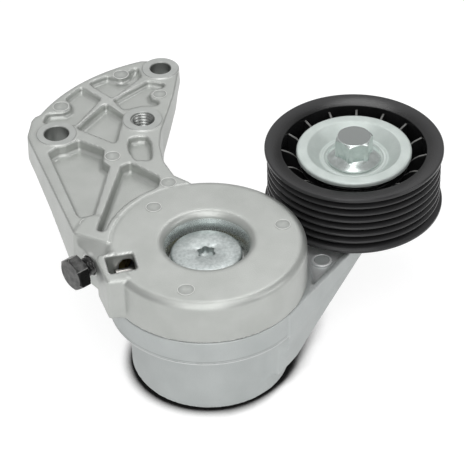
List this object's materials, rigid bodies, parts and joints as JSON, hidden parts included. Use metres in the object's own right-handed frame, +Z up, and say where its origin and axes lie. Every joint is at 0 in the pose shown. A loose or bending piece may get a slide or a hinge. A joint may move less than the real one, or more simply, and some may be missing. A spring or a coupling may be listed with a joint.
{
  "type": "belt tensioner idler",
  "caption": "Spring-loaded belt tensioner: a ribbed cast bracket with a round spring housing, a swinging cast arm and a grooved idler pulley on a sealed bearing.",
  "frame": {"origin": "on the pivot axis, at the flat bottom of the arm's cup", "axes": "+Z up the pivot axis towards the pin's head; +X from the pivot axis to the pulley axis with the arm at its free stop; the bracket's plate lies towards +Y"},
  "size_m": [0.1655, 0.1628, 0.074],
  "materials": {
    "cast_aluminium": "satin as-cast, light grey",
    "zinc_plate": "zinc-plated steel, pale",
    "black_oxide": "black oxide steel",
    "black_nylon": "satin black moulding",
    "spring_steel": "oil-tempered wire",
    "amber_polymer": "amber bearing polymer",
    "bearing_steel": "ground steel",
    "seal_rubber": "black rubber"
  },
  "bodies": {
    "bracket": {"mounting_bracket": "cast_aluminium", "pivot_bush": "amber_polymer", "damper_ring": "amber_polymer", "torsion_spring": "spring_steel", "upper_spring_seat": "black_nylon"},
    "arm": {"tensioner_arm": "cast_aluminium", "pivot_pin": "zinc_plate", "thrust_washer": "bearing_steel", "lower_spring_seat": "black_nylon", "bearing_inner_ring": "bearing_steel", "dust_shield": "zinc_plate", "pulley_bolt": "zinc_plate"},
    "pulley": {"pulley_wheel": "black_nylon", "bearing_outer_ring": "bearing_steel", "front_seal": "seal_rubber", "rear_seal": "seal_rubber"},
    "ball_set": {"ball_cage": "bearing_steel", "ball_1": "bearing_steel", "ball_2": "bearing_steel", "ball_3": "bearing_steel", "ball_4": "bearing_steel", "ball_5": "bearing_steel", "ball_6": "bearing_steel", "ball_7": "bearing_steel", "ball_8": "bearing_steel"},
    "stop_screw": {"stop_bolt": "black_oxide"}
  },
  "joints": [
    {"name": "arm_swing", "type": "hinge", "parent": "bracket", "child": "arm", "pos_m": [0, 0, 0], "axis": [0, 0, 1], "range_deg": [0, 30], "stiffness_Nm_per_rad": 5, "springref_deg": -11.46},
    {"name": "pulley_spin", "type": "hinge", "parent": "arm", "child": "pulley", "pos_m": [0.0807, 0, 0.0555], "axis": [0, 0, 1], "continuous": true},
    {"name": "ball_set_spin", "type": "hinge", "parent": "arm", "child": "ball_set", "pos_m": [0.0807, 0, 0.0555], "axis": [0, 0, 1], "continuous": true},
    {"name": "stop_bolt_travel", "type": "slide", "parent": "bracket", "child": "stop_screw", "axis": [1, 0, 0], "range_m": [-0.003, 0.002]}
  ],
  "couplings": [
    {"joint": "ball_set_spin", "follows": "pulley_spin", "ratio": 0.607}
  ]
}
